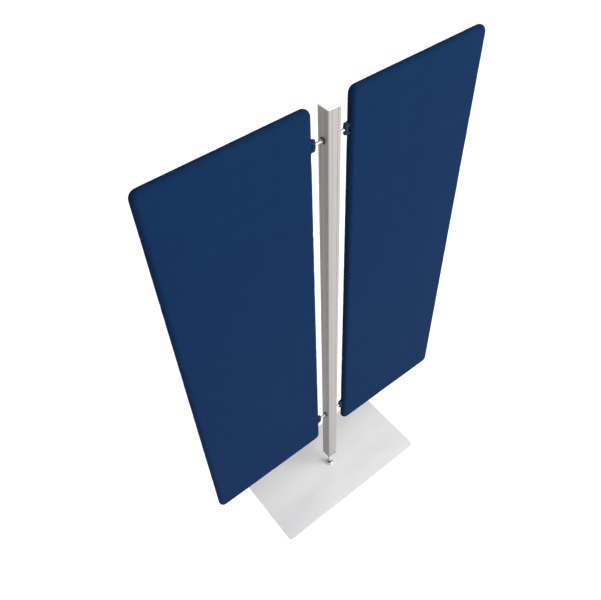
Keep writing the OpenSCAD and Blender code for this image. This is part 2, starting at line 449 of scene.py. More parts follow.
@dataclass(frozen=True)
class GrainedMetal(Finish):
    """Satin metal with a fine grain drawn along one axis."""

    grain: tuple[float, float, float] = (6.0, 900.0, 900.0)
    roughness: float = 0.34
    metallic: float = 0.9
    spread: float = 0.08
    relief: float = 0.012 * MM

    def draw(self, graph: Graph) -> None:
        """Draws fine grain lines over faint broad clouds.

        Args:
            graph: the material's graph.
        """
        fine = graph.stretched(self.grain, 3.0)
        broad = graph.stretched([0.02 * part + 1.5 for part in self.grain], 1.0)
        cloud = graph.noise(graph.place(), 7.0, 3.0)
        lift = (fine - 0.5) * 0.9 + (broad - 0.5) * 0.5 + 0.5
        low, high = shade(self.colour, 1.0 - self.spread), shade(self.colour, 1.0 + self.spread)
        rough = self.roughness + (fine - 0.5) * 0.14 + (cloud - 0.5) * 0.10
        graph.surface(
            {
                "Base Color": graph.blend(lift.clamped(), low, high),
                "Metallic": self.metallic,
                "Roughness": rough.clamped(),
                "Normal": graph.bump(fine, self.relief, 0.6),
            }
        )


@dataclass(frozen=True)
class Plated(Finish):
    """Bright or blackened steel with faint turning marks and handling."""

    roughness: float = 0.2
    metallic: float = 1.0

    def draw(self, graph: Graph) -> None:
        """Draws hairlines round the piece and soft smudges.

        Args:
            graph: the material's graph.
        """
        hair = graph.stretched((300.0, 300.0, 5000.0), 2.0)
        smudge = graph.noise(graph.place(), 180.0, 3.0)
        lift = ((hair - 0.5) * 0.6 + (smudge - 0.5) * 0.5 + 0.5).clamped()
        graph.surface(
            {
                "Base Color": graph.blend(lift, shade(self.colour, 0.9), shade(self.colour, 1.1)),
                "Metallic": self.metallic,
                "Roughness": (self.roughness + (smudge - 0.5) * 0.16).clamped(),
                "Normal": graph.bump(hair, 0.01 * MM, 0.4),
            }
        )


@dataclass(frozen=True)
class Coated(Finish):
    """Powder coat or fine-grained moulding: a dimpled, even skin."""

    roughness: float = 0.45
    dimple: float = 1400.0
    relief: float = 0.03 * MM
    shine: float = 0.5

    def draw(self, graph: Graph) -> None:
        """Draws dimples and a faint change of tone.

        Args:
            graph: the material's graph.
        """
        skin = graph.noise(graph.place(), self.dimple, 2.0)
        broad = graph.noise(graph.place(), 60.0, 2.0)
        lift = ((skin - 0.5) * 0.5 + (broad - 0.5) * 0.6 + 0.5).clamped()
        graph.surface(
            {
                "Base Color": graph.blend(lift, shade(self.colour, 0.93), shade(self.colour, 1.07)),
                "Roughness": (self.roughness + (broad - 0.5) * 0.12).clamped(),
                "Specular IOR Level": self.shine,
                "Normal": graph.bump(skin, self.relief, 0.5),
            }
        )


@dataclass(frozen=True)
class Rubber(Finish):
    """Matt rubber with a dusty bloom."""

    def draw(self, graph: Graph) -> None:
        """Draws a pitted skin with lighter bloom.

        Args:
            graph: the material's graph.
        """
        pits = graph.noise(graph.place(), 1800.0, 2.0)
        bloom = graph.noise(graph.place(), 90.0, 4.0).step(0.4, 0.75)
        graph.surface(
            {
                "Base Color": graph.blend(bloom, self.colour, shade(self.colour, 2.2)),
                "Roughness": (0.78 + bloom * 0.15).clamped(),
                "Normal": graph.bump(pits, 0.05 * MM, 0.6),
            }
        )


@dataclass(frozen=True)
class Timber(Finish):
    """Planed softwood; the growth rings run along one axis."""

    grain: tuple[float, float, float] = (60.0, 60.0, 3.0)

    def draw(self, graph: Graph) -> None:
        """Draws growth bands, pores and a planed surface.

        Args:
            graph: the material's graph.
        """
        ring = (graph.stretched(self.grain, 1.0) * 22.0).sine() * 0.5 + 0.5
        pore = graph.stretched([12.0 * part for part in self.grain], 2.0)
        graph.surface(
            {
                "Base Color": graph.blend(ring * 0.7 + pore * 0.3, shade(self.colour, 0.7), self.colour),
                "Roughness": 0.6 + pore * 0.2,
                "Normal": graph.bump(pore, 0.08 * MM, 0.5),
            }
        )


@dataclass(frozen=True)
class Felt(Finish):
    """Pressed polyester board with loose fibres."""

    def draw(self, graph: Graph) -> None:
        """Draws crossing fibres in two tones.

        Args:
            graph: the material's graph.
        """
        fibre = graph.noise(graph.place(), 700.0, 4.0, 0.7)
        speck = graph.noise(graph.place(), 260.0, 2.0).step(0.45, 0.65)
        graph.surface(
            {
                "Base Color": graph.blend(speck, shade(self.colour, 0.7), shade(self.colour, 1.4)),
                "Roughness": 0.95,
                "Normal": graph.bump(fibre, 0.3 * MM, 0.7),
            }
        )


CLOTH = WovenCloth("navy_weave", (0.0026, 0.0170, 0.057))
THREAD = Coated("navy_thread", (0.0045, 0.021, 0.066), 0.7, 2600.0, shine=0.06)
BINDING = Coated("navy_tape", (0.0045, 0.021, 0.066), 0.8, 2200.0, 0.08 * MM, 0.06)
NAVY_PAINT = Coated("navy_powder_coat", (0.0040, 0.017, 0.055), 0.6, shine=0.1)
WHITE_PLASTIC = Coated("white_moulding", (0.84, 0.84, 0.83), roughness=0.42, dimple=2400.0)
DARK_PLASTIC = Coated("dark_moulding", (0.022, 0.024, 0.024), roughness=0.5, dimple=2400.0)
PLATE_METAL = GrainedMetal("satin_plate", (0.74, 0.74, 0.74), (5.0, 700.0, 700.0), 0.36, 0.25)
POST_METAL = GrainedMetal("drawn_aluminium", (0.305, 0.287, 0.276), (900.0, 900.0, 4.0), 0.42, 0.3)
ARM_METAL = GrainedMetal("satin_rod", (0.42, 0.42, 0.42), (4.0, 900.0, 900.0), 0.4, 0.5)
BLOCK_METAL = GrainedMetal("machined_block", (0.55, 0.55, 0.56), (900.0, 40.0, 900.0), 0.4, 0.9)
BRIGHT_STEEL = Plated("bright_plate", (0.75, 0.75, 0.76), 0.2)
DARK_STEEL = Plated("blackened_steel", (0.035, 0.035, 0.038), 0.42, 0.6)
PAD_RUBBER = Rubber("black_rubber", (0.02, 0.02, 0.021))
PLANED_UPRIGHT = Timber("planed_upright", (0.62, 0.43, 0.24))
PLANED_CROSS = Timber("planed_cross", (0.62, 0.43, 0.24), (3.0, 60.0, 60.0))
CORE_FELT = Felt("core_felt", (0.10, 0.10, 0.105))


# ---------------------------------------------------------------- mesh tools


@dataclass(frozen=True)
class Corner:
    """A corner of a profile: its place, and the radius that rounds it."""

    x: float
    y: float
    radius: float = 0.0


def rounded(corners: Sequence[Corner], closed: bool, steps: int = 4) -> list[Point2]:
    """Rounds the corners of an outline.

    Args:
        corners: the corners in order.
        closed: whether the last corner joins the first.
        steps: how many chords round one corner.

    Returns:
        The outline's points.
    """
    points: list[Point2] = []
    count = len(corners)
    for index, corner in enumerate(corners):
        here = Vector((corner.x, corner.y))
        at_end = not closed and index in (0, count - 1)
        if corner.radius <= 0 or at_end:
            points.append((here.x, here.y))
            continue
        before, after = corners[index - 1], corners[(index + 1) % count]
        back = (Vector((before.x, before.y)) - here).normalized()
        on = (Vector((after.x, after.y)) - here).normalized()
        half = back.angle(on) / 2
        start = here + back * (corner.radius / math.tan(half))
        stop = here + on * (corner.radius / math.tan(half))
        middle = here + (back + on).normalized() * (corner.radius / math.sin(half))
        arm_a, arm_b = start - middle, stop - middle
        for step in range(steps + 1):
            share = step / steps
            arm = arm_a.slerp(arm_b, share) * corner.radius
            points.append(tuple(middle + arm))
    return points


def rounded_rectangle(width: float, depth: float, radius: float, steps: int = 8) -> list[Point2]:
    """Outline of a rectangle with round corners, centred, anticlockwise."""
    x, y = width / 2, depth / 2
    signs = ((1, 1), (-1, 1), (-1, -1), (1, -1))
    return rounded([Corner(a * x, b * y, radius) for a, b in signs], True, steps)


def lathe(
    bm: bmesh.types.BMesh,
    profile: Sequence[Point2],
    place: Matrix,
    segments: int = 40,
    closed: bool = False,
    radius_at: Callable[[float, float, float], float] | None = None,
) -> None:
    """Turns a profile of (radius, height) points about the local Z axis.

    Args:
        bm: the mesh that takes the shape.
        profile: the points, bottom to top.
        place: where the shape's own frame stands.
        segments: how many steps there are round it.
        closed: whether the profile is a closed loop, as for a ring.
        radius_at: changes a radius, given radius, height and angle, for knurls and threads.
    """
    rings = []
    for radius, height in profile:
        if radius < 1e-9:
            rings.append([bm.verts.new(place @ Vector((0, 0, height)))])
            continue
        ring = []
        for step in range(segments):
            angle = 2 * math.pi * step / segments
            r = radius_at(radius, height, angle) if radius_at else radius
            ring.append(bm.verts.new(place @ Vector((r * math.cos(angle), r * math.sin(angle), height))))
        rings.append(ring)
    pairs = list(zip(rings, rings[1:]))
    if closed:
        pairs.append((rings[-1], rings[0]))
    for low, high in pairs:
        for step in range(segments):
            ahead = (step + 1) % segments
            corners = [low[step % len(low)], low[ahead % len(low)]]
            corners += [high[ahead % len(high)], high[step % len(high)]]
            bm.faces.new(list(dict.fromkeys(corners)))


def prism(bm: bmesh.types.BMesh, outline: Sequence[Point2], low: float, high: float, place: Matrix) -> None:
    """Raises a flat outline into a closed solid along the local Z axis.

    Args:
        bm: the mesh that takes the shape.
        outline: its corners.
        low: the bottom's height.
        high: the top's height.
        place: where the shape's own frame stands.
    """
    rings = [[bm.verts.new(place @ Vector((x, y, z))) for x, y in outline] for z in (low, high)]
    bm.faces.new(rings[0][::-1])
    bm.faces.new(rings[1])
    count = len(outline)
    for step in range(count):
        ahead = (step + 1) % count
        bm.faces.new([rings[0][step], rings[0][ahead], rings[1][ahead], rings[1][step]])


def tube(bm: bmesh.types.BMesh, path: Sequence[Vector], radius: float, sides: int = 8) -> None:
    """Sweeps a round section along a closed path.

    Args:
        bm: the mesh that takes the shape.
        path: the points of the closed path.
        radius: the section's radius.
        sides: the section's sides.
    """
    count = len(path)
    middle = sum(path, Vector()) / count
    rings = []
    for index, point in enumerate(path):
        ahead = (path[(index + 1) % count] - path[index - 1]).normalized()
        out = (point - middle) - (point - middle).dot(ahead) * ahead
        out.normalize()
        side = ahead.cross(out)
        ring = []
        for step in range(sides):
            angle = 2 * math.pi * step / sides
            ring.append(bm.verts.new(point + radius * (math.cos(angle) * out + math.sin(angle) * side)))
        rings.append(ring)
    for index, ring in enumerate(rings):
        other = rings[(index + 1) % count]
        for step in range(sides):
            ahead_step = (step + 1) % sides
            bm.faces.new([ring[step], ring[ahead_step], other[ahead_step], other[step]])


def link_object(name: str, data: bpy.types.ID) -> bpy.types.Object:
    """Puts data into the scene as an object."""
    made = bpy.data.objects.new(name, data)
    bpy.context.scene.collection.objects.link(made)
    return made


def solid(name: str, shape: Callable[[bmesh.types.BMesh], None]) -> bpy.types.Object:
    """Makes an object from a function that fills a mesh.

    Args:
        name: the object's name.
        shape: draws into the mesh it is given.

    Returns:
        The object, its faces pointing outwards.
    """
    bm = bmesh.new()
    shape(bm)
    bmesh.ops.remove_doubles(bm, verts=bm.verts, dist=1e-7)
    bmesh.ops.recalc_face_normals(bm, faces=bm.faces)
    mesh = bpy.data.meshes.new(name)
    bm.to_mesh(mesh)
    bm.free()
    return link_object(name, mesh)


def flatten(obj: bpy.types.Object) -> None:
    """Turns an object with modifiers into a plain mesh.

    Args:
        obj: the object; its modifiers are gone afterwards.
    """
    graph = bpy.context.evaluated_depsgraph_get()
    old = obj.data
    made = bpy.data.meshes.new_from_object(obj.evaluated_get(graph), depsgraph=graph)
    obj.modifiers.clear()
    obj.data = made
    made.name = obj.name
    bpy.data.meshes.remove(old)


def combine(obj: bpy.types.Object, other: bpy.types.Object, operation: str) -> None:
    """Adds or cuts another solid, which is then gone.

    Args:
        obj: the solid that stays.
        other: the solid that is added or cut away.
        operation: UNION or DIFFERENCE.
    """
    cutter = obj.modifiers.new("combine", "BOOLEAN")
    cutter.operation = operation
    cutter.solver = "EXACT"
    cutter.object = other
    flatten(obj)
    bpy.data.objects.remove(other)


def soften(obj: bpy.types.Object, width: float, segments: int = 3, angle: float = 40.0) -> None:
    """Rounds an object's sharp edges.

    Args:
        obj: the object.
        width: how far the rounding reaches.
        segments: how many steps it has.
        angle: edges sharper than this many degrees are rounded.
    """
    bevel = obj.modifiers.new("soften", "BEVEL")
    bevel.width = width
    bevel.segments = segments
    bevel.limit_method = "ANGLE"
    bevel.angle_limit = math.radians(angle)
    bevel.harden_normals = False
    flatten(obj)


def dress(
    obj: bpy.types.Object,
    finish: Finish,
    body: str,
    stands_for: Iterable[str] = (),
    sharp: float = 35.0,
) -> bpy.types.Object:
    """Finishes a piece and hangs it on its body.

    Args:
        obj: the piece.
        finish: its finish.
        body: the body it moves with.
        stands_for: the frame's nodes that it replaces.
        sharp: edges sharper than this many degrees stay crisp.

    Returns:
        The piece.
    """
    mesh = obj.data
    mesh.materials.clear()
    mesh.materials.append(finish.material())
    mesh.polygons.foreach_set("use_smooth", [True] * len(mesh.polygons))
    mesh.polygons.foreach_set("material_index", [0] * len(mesh.polygons))
    mesh.set_sharp_from_angle(angle=math.radians(sharp))
    mesh.update()
    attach(obj, body)
    if stands_for:
        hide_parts(*stands_for)
    log.info("%s: %d faces, on %s", obj.name, len(mesh.polygons), body)
    return obj


def repaint(node: str, finish: Finish) -> None:
    """Gives a node of the frame a finish.

    Args:
        node: the node's name.
        finish: its finish.
    """
    mesh = frame["nodes"][node].data
    mesh.materials.clear()
    mesh.materials.append(finish.material())
    log.info("%s: kept from the frame, %s", node, finish.name)


def along_x(place: Vector, sign: float = 1.0) -> Matrix:
    """A frame whose Z axis points along +X or -X, standing at a place."""
    return Matrix.Translation(place) @ Matrix.Rotation(sign * math.pi / 2, 4, "Y")


def node_middle(node: str) -> Vector:
    """The middle of a frame node's box."""
    low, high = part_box(node)
    return (low + high) / 2


# ---------------------------------------------------------------- geometry trees


@dataclass
class Scatter:
    """A geometry tree that sets one shape along curves or on points."""

    name: str
    finish: Finish
    inputs: dict[str, float] = field(default_factory=dict)

    def build(self) -> bpy.types.NodeTree:
        """Makes the tree, with a named input for each size.

        Returns:
            The tree.
        """
        tree = bpy.data.node_groups.new(self.name, "GeometryNodeTree")
        tree.interface.new_socket("Geometry", in_out="INPUT", socket_type="NodeSocketGeometry")
        for label, value in self.inputs.items():
            socket = tree.interface.new_socket(label, in_out="INPUT", socket_type="NodeSocketFloat")
            socket.default_value = value
        tree.interface.new_socket("Geometry", in_out="OUTPUT", socket_type="NodeSocketGeometry")
        graph = Graph(tree)
        source = graph.node("NodeGroupInput")
        spread = self.spread(graph, source)
        real = graph.node("GeometryNodeRealizeInstances", {}, {0: spread})
        coated = graph.node("GeometryNodeSetMaterial", {}, {0: real.outputs[0]})
        coated.inputs["Material"].default_value = self.finish.material()
        graph.node("NodeGroupOutput", {}, {0: coated.outputs[0]})
        return tree

    def spread(self, graph: Graph, source: bpy.types.Node) -> bpy.types.NodeSocket:
        """Sets out the shapes; each kind of scatter has its own."""
        raise NotImplementedError

    def grow(self, obj: bpy.types.Object) -> None:
        """Runs the tree on an object and keeps the plain mesh.

        Args:
            obj: the object whose mesh guides the tree.
        """
        tree = self.build()
        modifier = obj.modifiers.new(self.name, "NODES")
        modifier.node_group = tree
        for item in tree.interface.items_tree:
            if item.in_out == "INPUT" and item.name in self.inputs:
                modifier[item.identifier] = self.inputs[item.name]
        obj.update_tag()
        bpy.context.view_layer.update()
        flatten(obj)


@dataclass
class StitchRow(Scatter):
    """Stitches laid end to end along the edges of a mesh."""

    def spread(self, graph: Graph, source: bpy.types.Node) -> bpy.types.NodeSocket:
        """Lays one stitch at each step of the path.

        Args:
            graph: the tree's graph.
            source: the group's input node.

        Returns:
            The stitches, as instances.
        """
        path = graph.node("GeometryNodeMeshToCurve", {}, {0: source.outputs["Geometry"]})
        even = graph.node(
            "GeometryNodeResampleCurve",
            {"mode": "LENGTH"},
            {"Curve": path.outputs[0], "Length": source.outputs["Step"]},
        )
        tangent = graph.node("GeometryNodeInputTangent")
        turned = graph.node(
            "FunctionNodeAlignRotationToVector", {"axis": "Z"}, {"Vector": tangent.outputs[0]}
        )
        stitch = graph.node(
            "GeometryNodeMeshUVSphere",
            {},
            {"Segments": 6, "Rings": 4, "Radius": source.outputs["Radius"]},
        )
        stretch = graph.value(source, "Length") / (graph.value(source, "Radius") * 2.0)
        longer = graph.node(
            "GeometryNodeTransform",
            {},
            {"Geometry": stitch.outputs[0], "Scale": graph.join(1.0, 1.0, stretch)},
        )
        laid = graph.node(
            "GeometryNodeInstanceOnPoints",
            {},
            {"Points": even.outputs[0], "Instance": longer.outputs[0], "Rotation": turned.outputs[0]},
        )
        return laid.outputs[0]


@dataclass
class PadSet(Scatter):
    """Round pads with soft edges, one on each vertex of a mesh."""

    def spread(self, graph: Graph, source: bpy.types.Node) -> bpy.types.NodeSocket:
        """Stands one turned pad on each point.

        Args:
            graph: the tree's graph.
            source: the group's input node.

        Returns:
            The pads, as instances.
        """
        radius, height = graph.value(source, "Radius"), graph.value(source, "Height")
        soft = graph.value(source, "Softness")
        discs = []
        for reach, low, high in ((0.0, 1.0, 1.0), (1.0, 0.0, 0.0)):
            discs.append(
                graph.node(
                    "GeometryNodeMeshCylinder",
                    {"fill_type": "NGON"},
                    {
                        "Vertices": 48,
                        "Radius": radius - soft * reach,
                        "Depth": height - soft * (low + high),
                    },
                )
            )
        both = graph.node("GeometryNodeJoinGeometry")
        for disc in discs:
            graph.tree.links.new(disc.outputs[0], both.inputs[0])
        hull = graph.node("GeometryNodeConvexHull", {}, {0: both.outputs[0]})
        points = graph.node("GeometryNodeMeshToPoints", {}, {0: source.outputs["Geometry"]})
        laid = graph.node(
            "GeometryNodeInstanceOnPoints",
            {},
            {"Points": points.outputs[0], "Instance": hull.outputs[0]},
        )
        return laid.outputs[0]


# ---------------------------------------------------------------- stand


@dataclass
class Base:
    """The plate, its pads, and the stem with its boss and collar."""

    edge_radius: float = 1.2 * MM
    corner_radius: float = 16 * MM
    bore_radius: float = 5.1 * MM
    recess_radius: float = 11.5 * MM
    recess_depth: float = 6.0 * MM
    thread_pitch: float = 1.75 * MM
    thread_depth: float = 0.8 * MM
    thread_run: float = 24 * MM
    knurl_count: int = 36
    knurl_depth: float = 0.35 * MM
    boss_rim: float = 2 * MM
    boss_top_radius: float = 12 * MM
    stud_radius: float = 5 * MM
    stud_chamfer: float = 0.8 * MM
    collar_bore: float = 7.05 * MM
    collar_bevel: float = 1.5 * MM
    knurl_inset: float = 1.4 * MM
    knurl_run: float = 0.4 * MM
    pad_radius: float = 20 * MM

    def build(self) -> None:
        """Makes every piece of the base."""
        self.plate()
        self.pads()
        self.stem()
        self.boss()
        self.collar()
        repaint("base_nut", DARK_STEEL)

    def plate(self) -> bpy.types.Object:
        """The plate, with softened edges and a sunk seat for the nut.

        Returns:
            The plate.
        """
        low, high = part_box("base_plate")
        outline = rounded_rectangle(high.x - low.x, high.y - low.y, self.corner_radius, 12)
        made = solid("base_plate_slab", lambda bm: prism(bm, outline, low.z, high.z, Matrix()))
        soften(made, self.edge_radius, 4)
        seat = rounded(
            [
                Corner(0, low.z - MM),
                Corner(self.recess_radius, low.z - MM),
                Corner(self.recess_radius, low.z + self.recess_depth),
                Corner(self.bore_radius, low.z + self.recess_depth),
                Corner(self.bore_radius, high.z + MM),
                Corner(0, high.z + MM),
            ],
            False,
        )
        combine(made, solid("seat", lambda bm: lathe(bm, seat, Matrix())), "DIFFERENCE")
        return dress(made, PLATE_METAL, STAND, ["base_plate"])

    def pads(self) -> bpy.types.Object:
        """Six rubber pads under the plate.

        Returns:
            The pads, in one object.
        """
        low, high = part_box("floor_pads")
        radius, height = self.pad_radius, high.z - low.z
        mesh = bpy.data.meshes.new("pad_places")
        reach_x, reach_y = high.x - radius, high.y - radius
        places = [(x * reach_x, y * reach_y, height / 2) for x in (-1, 0, 1) for y in (-1, 1)]
        mesh.from_pydata(places, [], [])
        made = link_object("rubber_pads", mesh)
        sizes = {"Radius": radius, "Height": height, "Softness": 0.6 * MM}
        PadSet("pad_set", PAD_RUBBER, sizes).grow(made)
        return dress(made, PAD_RUBBER, STAND, ["floor_pads"])

    def thread_cut(self, start: float, stop: float) -> Callable[[float, float, float], float]:
        """A rule that cuts a screw thread into a turned rod.

        Args:
            start: the height where the thread begins.
            stop: the height where it runs out.

        Returns:
            A function of radius, height and angle.
        """

        def radius_at(radius: float, height: float, angle: float) -> float:
            """The rod's radius with the thread cut into it."""
            ends = min(height - start, stop - height) / self.thread_pitch
            fade = max(0.0, min(1.0, ends))
            turn = (height / self.thread_pitch - angle / (2 * math.pi)) % 1.0
            return radius - self.thread_depth * fade * abs(2 * turn - 1) * 0.9

        return radius_at

    def stem(self) -> bpy.types.Object:
        """The bright rod that carries the post, threaded where the collar runs.

        Returns:
            The stem.
        """
        low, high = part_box("stem")
        _, boss_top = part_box("stem_boss")
        radius, stud, chamfer = high.x, self.stud_radius, self.stud_chamfer
        _, collar_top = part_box("stem_collar")
        start, stop = collar_top.z - 2 * MM, collar_top.z + self.thread_run
        rows = int((stop - start) / self.thread_pitch * 6)
        profile: list[Point2] = [(0, low.z), (stud - chamfer, low.z), (stud, low.z + chamfer)]
        profile += [(stud, boss_top.z), (radius, boss_top.z)]
        profile += [(radius, start + (stop - start) * row / rows) for row in range(rows + 1)]
        profile += [(radius, high.z - MM), (radius - MM, high.z), (0, high.z)]
        cut = self.thread_cut(start, stop)
        made = solid("stem_rod", lambda bm: lathe(bm, profile, Matrix(), 40, False, cut))
        return dress(made, BRIGHT_STEEL, STAND, ["stem"])

    def boss(self) -> bpy.types.Object:
        """The bright conical foot that the stem stands in.

        Returns:
            The boss.
        """
        low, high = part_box("stem_boss")
        profile = rounded(
            [
                Corner(self.bore_radius, low.z),
                Corner(high.x, low.z),
                Corner(high.x, low.z + self.boss_rim, 0.8 * MM),
                Corner(self.boss_top_radius, high.z, 1.5 * MM),
                Corner(self.bore_radius, high.z),
            ],
            True,
        )
        made = solid("boss_cone", lambda bm: lathe(bm, profile, Matrix(), 64, True))
        return dress(made, BRIGHT_STEEL, STAND, ["stem_boss"])

    def collar(self) -> bpy.types.Object:
        """The dark lock collar, with a straight knurl round its waist.

        Returns:
            The collar.
        """
        low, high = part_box("stem_collar")
        inner, outer, bevel, run = self.collar_bore, high.x, self.collar_bevel, self.knurl_run
        knurl_low, knurl_high = low.z + self.knurl_inset, high.z - self.knurl_inset - MM
        profile = rounded(
            [
                Corner(inner, low.z),
                Corner(outer, low.z, 0.4 * MM),
                Corner(outer, knurl_low - run),
                Corner(outer, knurl_low),
                Corner(outer, knurl_high),
                Corner(outer, knurl_high + run),
                Corner(outer, high.z - bevel, 0.4 * MM),
                Corner(outer - bevel, high.z, 0.4 * MM),
                Corner(inner, high.z, 0.3 * MM),
            ],
            True,
        )

        def radius_at(radius: float, height: float, angle: float) -> float:
            """The collar's radius, with ridges round its waist."""
            if radius < outer - 0.1 * MM or not knurl_low - 1e-6 <= height <= knurl_high + 1e-6:
                return radius
            return radius - self.knurl_depth * (0.5 + 0.5 * math.cos(self.knurl_count * angle))

        steps = self.knurl_count * 4
        made = solid("lock_collar", lambda bm: lathe(bm, profile, Matrix(), steps, True, radius_at))
        return dress(made, DARK_STEEL, STAND, ["stem_collar"])


@dataclass
class Post:
    """The post with its cap, foot plug and inner blocks."""

    cap_radius: float = 5 * MM
    cap_lip: float = 0.7 * MM
    dish: float = 0.5 * MM
    plug_step: float = 7.4 * MM
    plug_wall: float = 2.5 * MM

    def build(self) -> None:
        """Makes the cap and finishes the post's kept nodes."""
        self.cap()
        repaint("post", POST_METAL)
        repaint("foot_plug", BLOCK_METAL)
        repaint("foot_screws", DARK_STEEL)
        repaint("upper_arm_block", BLOCK_METAL)
        repaint("lower_arm_block", BLOCK_METAL)

    def cap(self) -> bpy.types.Object:
        """The white cap: a soft-edged top, faintly dished, on a hollow plug.

        Returns:
            The cap.
        """
        low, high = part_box("post_cap")
        _, post_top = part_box("post")
        width, lip = high.x - low.x, self.cap_lip
        rings = [
            (width, post_top.z),
            (width, high.z - lip),
            (width - 0.3 * lip, high.z - 0.3 * lip),
            (width - 2.0 * lip, high.z),
            (width - 5 * MM, high.z),
            (width - 8 * MM, high.z - self.dish),
        ]
        plug = width - self.plug_step
        hollow = plug - 2 * self.plug_wall

        def shape(bm: bmesh.types.BMesh) -> None:
            """Lofts the cap from square rings, bottom to top."""
            stack = [(hollow, post_top.z - 2 * MM), (hollow, low.z), (plug, low.z)]
            stack += [(plug, post_top.z)] + rings
            loops = []
            for side, height in stack:
                radius = max(0.3 * MM, self.cap_radius - (width - side) / 2)
                loop = rounded_rectangle(side, side, radius, 5)
                loops.append([bm.verts.new((x, y, height)) for x, y in loop])
            for below, above in zip(loops, loops[1:]):
                for step in range(len(below)):
                    ahead = (step + 1) % len(below)
                    bm.faces.new([below[step], below[ahead], above[ahead], above[step]])
            bm.faces.new(loops[0][::-1])
            bm.faces.new(loops[-1])

        made = solid("post_top_cap", shape)
        return dress(made, WHITE_PLASTIC, STAND, ["post_cap"])


@dataclass
class Arm:
    """A slim arm, the barrel it is saddled onto, and the dark bush it leaves the post through."""

    side: Side
    level: Level
    neck_radius: float = 4.5 * MM
    root_radius: float = 6.0 * MM
    root_depth: float = 1.5 * MM
    bore_radius: float = 3.05 * MM
    shank_radius: float = 4.0 * MM
    joint_gap: float = 0.02 * MM
    barrel_edge: float = 1.2 * MM
    sleeve_radius: float = 7.0 * MM

    def build(self) -> None:
        """Makes the arm, its barrel and its bush."""
        self.arm()
        self.barrel()
        self.bush()

    def name(self, part: str) -> str:
        """The frame's name of this arm's part."""
        return f"{self.side.word}_{self.level.value}_{part}"

    def arm(self) -> bpy.types.Object:
        """Plain shank, stepped root and slim rod, cut to sit on the barrel.

        Returns:
            The arm.
        """
        node = self.name("arm")
        low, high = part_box(node)
        barrel_low, barrel_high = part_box(self.name("barrel"))
        sign, seat = self.side.value, node_middle(self.name("barrel"))
        axis, tall = abs(seat.x), barrel_high.z - barrel_low.z
        inner = low.x if sign > 0 else -high.x
        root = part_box(f"right_{self.level.value}_bush")[1].x
        profile = rounded(
            [
                Corner(0, inner),
                Corner(self.shank_radius, inner, 0.6 * MM),
                Corner(self.shank_radius, root),
                Corner(self.root_radius, root, 0.3 * MM),
                Corner(self.root_radius, root + self.root_depth, 0.6 * MM),
                Corner(self.neck_radius, root + 2 * self.root_depth, 0.8 * MM),
                Corner(self.neck_radius, axis),
                Corner(0, axis),
            ],
            False,
            5,
        )
        rod_place = along_x(Vector((0, 0, seat.z)), sign)
        made = solid(f"{node}_rod", lambda bm: lathe(bm, profile, rod_place, 48))
        reach = (barrel_high.y - barrel_low.y) / 2 + self.joint_gap
        saddle = [(0, -tall), (reach, -tall), (reach, tall), (0, tall)]
        place = Matrix.Translation(seat)
        combine(made, solid("saddle", lambda bm: lathe(bm, saddle, place, 96)), "DIFFERENCE")
        return dress(made, ARM_METAL, STAND, [node], 50.0)

    def barrel(self) -> bpy.types.Object:
        """The upright barrel that the hinge pin turns in.

        Returns:
            The barrel.
        """
        node = self.name("barrel")
        low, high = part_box(node)
        radius, seat = (high.y - low.y) / 2, node_middle(node)
        profile = rounded(
            [
                Corner(self.bore_radius, low.z, 0.3 * MM),
                Corner(radius, low.z, self.barrel_edge),
                Corner(radius, high.z, self.barrel_edge),
                Corner(self.bore_radius, high.z, 0.3 * MM),
            ],
            True,
        )
        place = Matrix.Translation((seat.x, seat.y, 0))
        made = solid(f"{node}_turned", lambda bm: lathe(bm, profile, place, 56, True))
        return dress(made, NAVY_PAINT, STAND, [node])

    def bush(self) -> bpy.types.Object:
        """The dark flanged bush.

        Returns:
            The bush.
        """
        node = self.name("bush")
        low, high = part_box(node)
        sign, radius = self.side.value, (high.y - low.y) / 2
        outer = high.x if sign > 0 else -low.x
        inner = outer - (high.x - low.x)
        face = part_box("post")[1].x
        sleeve, hole = self.sleeve_radius, self.shank_radius + self.joint_gap
        profile = rounded(
            [
                Corner(hole, inner),
                Corner(sleeve, inner, 0.4 * MM),
                Corner(sleeve, face),
                Corner(radius, face, 0.2 * MM),
                Corner(radius, outer, 1.6 * MM),
                Corner(self.root_radius + 0.6 * MM, outer, 0.3 * MM),
                Corner(self.root_radius + 0.2 * MM, outer - 0.5 * MM, 0.2 * MM),
                Corner(hole, outer - 0.5 * MM),
            ],
            True,
        )
        place = along_x(Vector((0, 0, (low.z + high.z) / 2)), sign)
        made = solid(f"{node}_flange", lambda bm: lathe(bm, profile, place, 56, True))
        return dress(made, DARK_PLASTIC, STAND, [node])


# ---------------------------------------------------------------- wings


